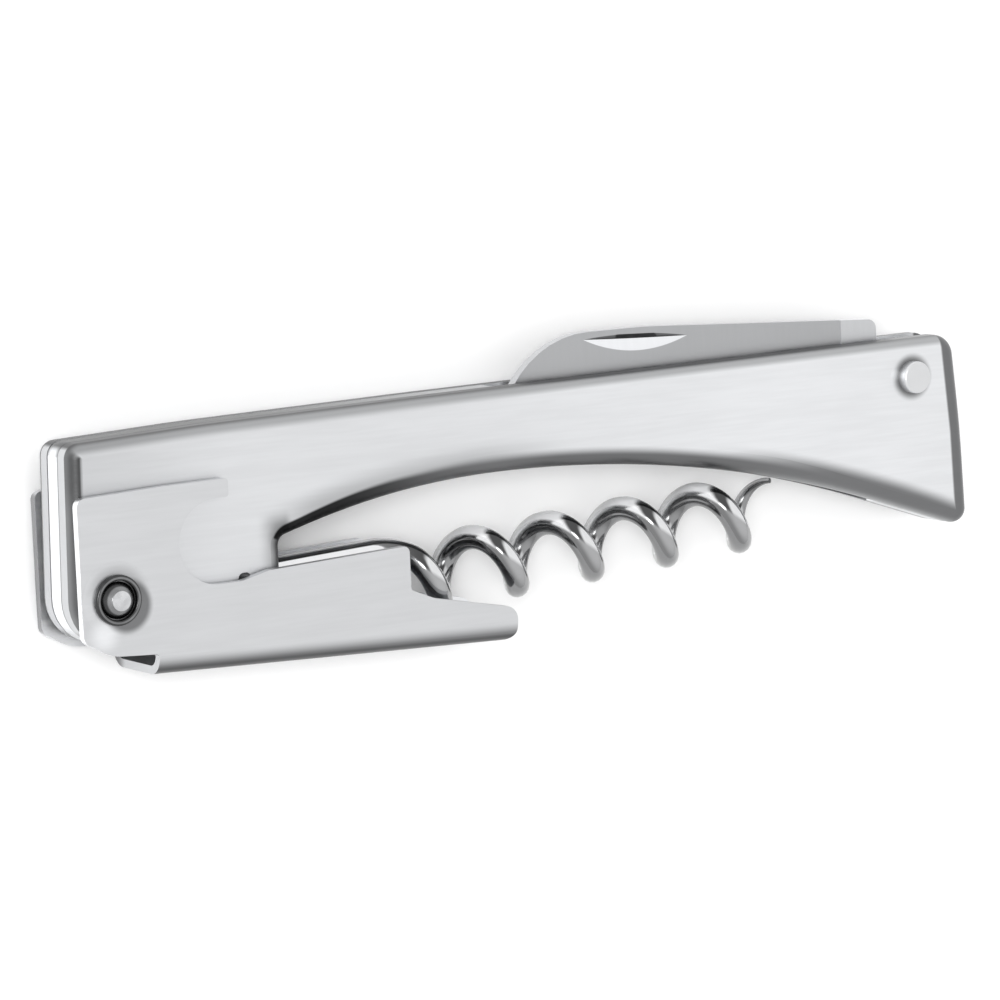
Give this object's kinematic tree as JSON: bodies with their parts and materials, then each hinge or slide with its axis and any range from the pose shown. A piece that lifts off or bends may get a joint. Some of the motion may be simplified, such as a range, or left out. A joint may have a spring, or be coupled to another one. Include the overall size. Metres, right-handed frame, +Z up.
{
  "type": "waiter's corkscrew",
  "caption": "Folding steel waiter's corkscrew: wire worm, hooked single-step lever channel and foil blade on a dished handle.",
  "frame": {"origin": "middle of the underside of the folded tool as it lies on its far side", "axes": "+X along the handle from the lever's pivot to the blade's pivot, +Y to the side that the blade opens on, +Z up along the pivots"},
  "size_m": [0.114, 0.0318, 0.0127],
  "materials": {
    "brushed_steel": "fine brushed along the handle",
    "polished_steel": "polished",
    "blade_steel": "satin, ground across"
  },
  "bodies": {
    "handle": {"near_shell": "brushed_steel", "far_shell": "brushed_steel", "spine_plate": "brushed_steel", "back_spring": "brushed_steel", "foot_spacer": "brushed_steel", "spine_pin_1": "brushed_steel", "spine_pin_2": "brushed_steel", "spring_pin_1": "brushed_steel", "spring_pin_2": "brushed_steel", "foot_pin_1": "brushed_steel", "foot_pin_2": "brushed_steel", "lever_pivot_bush": "brushed_steel", "worm_pivot_pin": "brushed_steel", "worm_washer_near": "brushed_steel", "worm_washer_far": "brushed_steel", "blade_rivet": "brushed_steel", "blade_washer_near": "brushed_steel", "blade_washer_far": "brushed_steel"},
    "lever": {"lever_channel": "brushed_steel", "lever_pivot_pin": "polished_steel", "pivot_washer_near": "polished_steel", "pivot_washer_far": "polished_steel"},
    "worm": {"worm": "polished_steel"},
    "blade": {"blade": "blade_steel"}
  },
  "joints": [
    {"name": "lever_hinge", "type": "hinge", "parent": "handle", "child": "lever", "pos_m": [-0.05279, -0.00586, 0.00635], "axis": [0, 0, -1], "range_deg": [0, 165]},
    {"name": "worm_hinge", "type": "hinge", "parent": "handle", "child": "worm", "pos_m": [-0.03734, -0.00291, 0.00635], "axis": [0, 0, -1], "range_deg": [0, 90]},
    {"name": "blade_hinge", "type": "hinge", "parent": "handle", "child": "blade", "pos_m": [0.04958, 0.00739, 0.00635], "axis": [0, 0, -1], "range_deg": [0, 180]}
  ],
  "couplings": [
    {"joint": "worm_hinge", "follows": "lever_hinge", "ratio": 0.54545}
  ]
}
